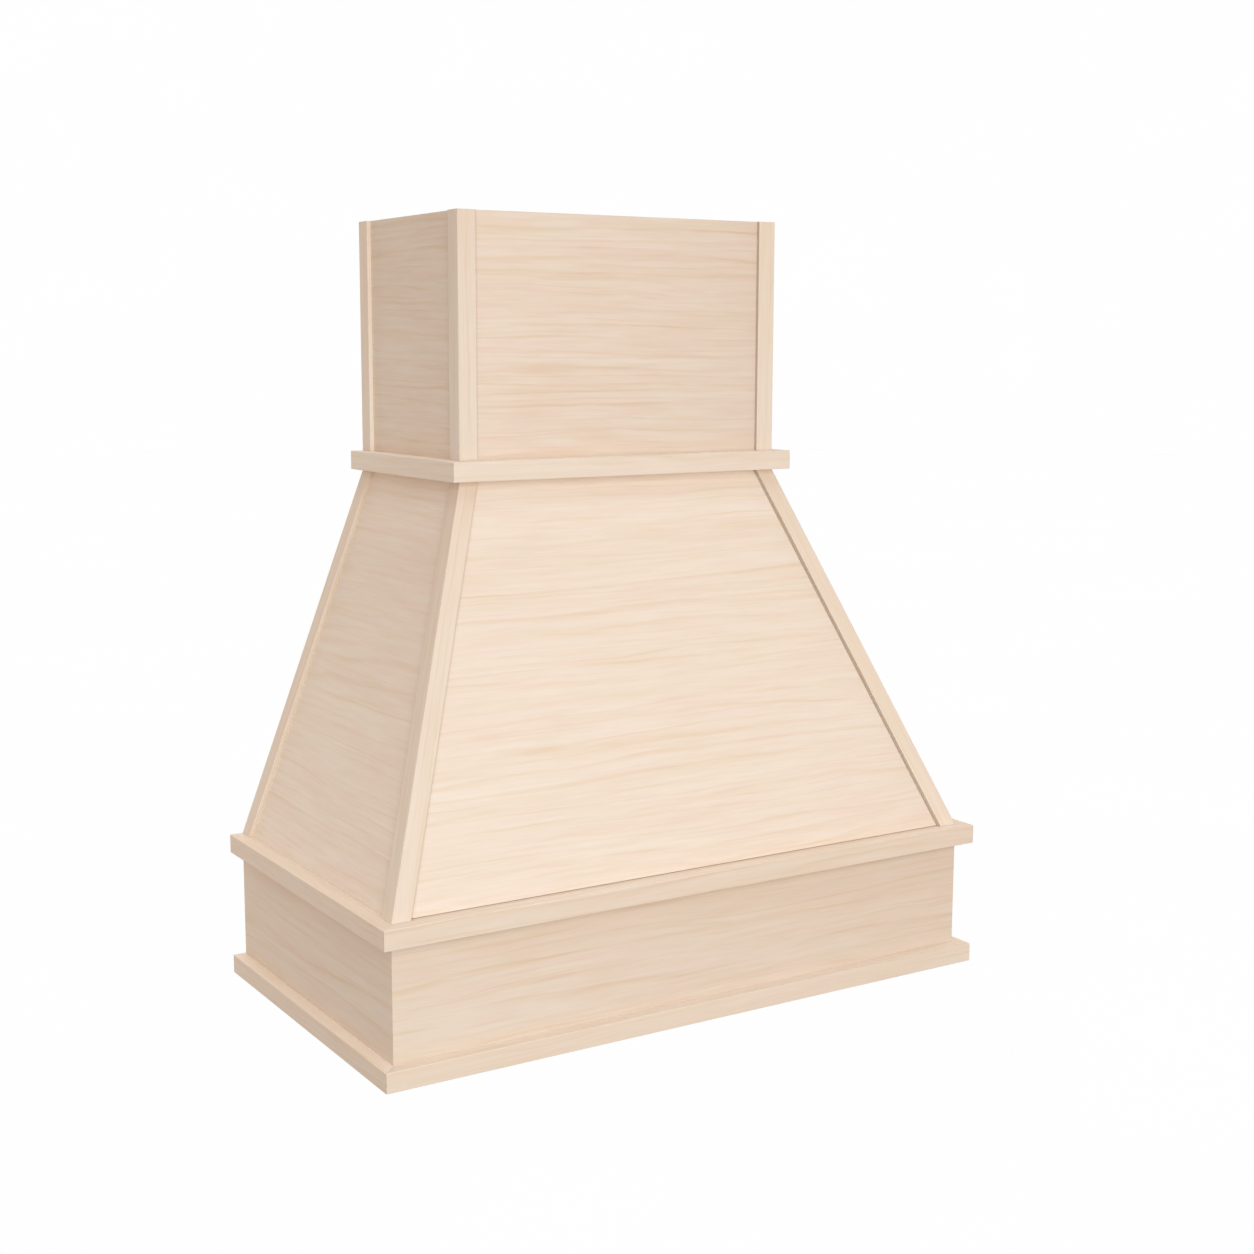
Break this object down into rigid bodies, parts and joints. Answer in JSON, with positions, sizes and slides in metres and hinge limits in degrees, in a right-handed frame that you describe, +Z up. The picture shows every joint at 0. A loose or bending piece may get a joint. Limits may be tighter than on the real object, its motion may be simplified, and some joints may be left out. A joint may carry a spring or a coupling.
{
  "type": "wooden range hood cover",
  "caption": "Tapered wooden wall-mounted range hood cover: fascia box, ledge and neck mouldings, corner straps, square chimney, open inside for a liner and duct, with a pull-off front panel.",
  "frame": {"origin": "on the wall plane, in the middle of the width, at the underside of the cover", "axes": "+X to the right seen from the front, +Y into the wall, +Z up; the front of the hood looks along -Y"},
  "size_m": [0.9524, 0.519, 1.08],
  "materials": {
    "maple_panel": "unfinished sanded maple-veneered plywood, horizontal grain",
    "maple_solid": "unfinished sanded solid maple, grain along each piece",
    "frame_timber": "planed, unfinished frame timber",
    "zinc_steel": "zinc plated",
    "nickel": "nickel plated"
  },
  "bodies": {
    "hood_body": {"apron_corner_blocks": "frame_timber", "apron_front": "maple_panel", "apron_left": "maple_panel", "apron_right": "maple_panel", "base_rear_rail": "frame_timber", "bottom_band_front": "maple_solid", "bottom_band_left": "maple_solid", "bottom_band_right": "maple_solid", "chimney_corner_blocks": "frame_timber", "chimney_front_panel": "maple_panel", "chimney_front_strap_left": "maple_solid", "chimney_front_strap_right": "maple_solid", "chimney_side_front_strap_left": "maple_solid", "chimney_side_front_strap_right": "maple_solid", "chimney_side_panel_left": "maple_panel", "chimney_side_panel_right": "maple_panel", "chimney_side_rear_strap_left": "maple_solid", "chimney_side_rear_strap_right": "maple_solid", "frame_screws": "zinc_steel", "front_stile_left": "maple_panel", "front_stile_right": "maple_panel", "hip_cleat_left": "frame_timber", "hip_cleat_right": "frame_timber", "ledge_band_front": "maple_solid", "ledge_band_left": "maple_solid", "ledge_band_right": "maple_solid", "liner_cleat_front": "frame_timber", "liner_cleat_left": "frame_timber", "liner_cleat_rear": "frame_timber", "liner_cleat_right": "frame_timber", "neck_band_front": "maple_solid", "neck_band_left": "maple_solid", "neck_band_right": "maple_solid", "neck_rail_front": "frame_timber", "neck_rail_left": "frame_timber", "neck_rail_right": "frame_timber", "panel_head_rail": "frame_timber", "panel_magnets": "nickel", "panel_sill_rail": "frame_timber", "rear_stile_left": "frame_timber", "rear_stile_right": "frame_timber", "side_sill_cleat_left": "frame_timber", "side_sill_cleat_right": "frame_timber", "taper_front_strap_left": "maple_solid", "taper_front_strap_right": "maple_solid", "taper_side_front_strap_left": "maple_solid", "taper_side_front_strap_right": "maple_solid", "taper_side_panel_left": "maple_panel", "taper_side_panel_right": "maple_panel", "taper_side_rear_strap_left": "maple_solid", "taper_side_rear_strap_right": "maple_solid", "top_rail_front": "frame_timber", "top_rail_left": "frame_timber", "top_rail_rear": "frame_timber", "top_rail_right": "frame_timber", "upper_wall_rail": "frame_timber"},
    "access_panel": {"front_access_panel": "maple_panel", "panel_strike_plates": "zinc_steel"}
  },
  "joints": [
    {"name": "access_panel_pull", "type": "slide", "parent": "hood_body", "child": "access_panel", "axis": [0, -1, 0], "range_m": [0, 0.25]}
  ]
}
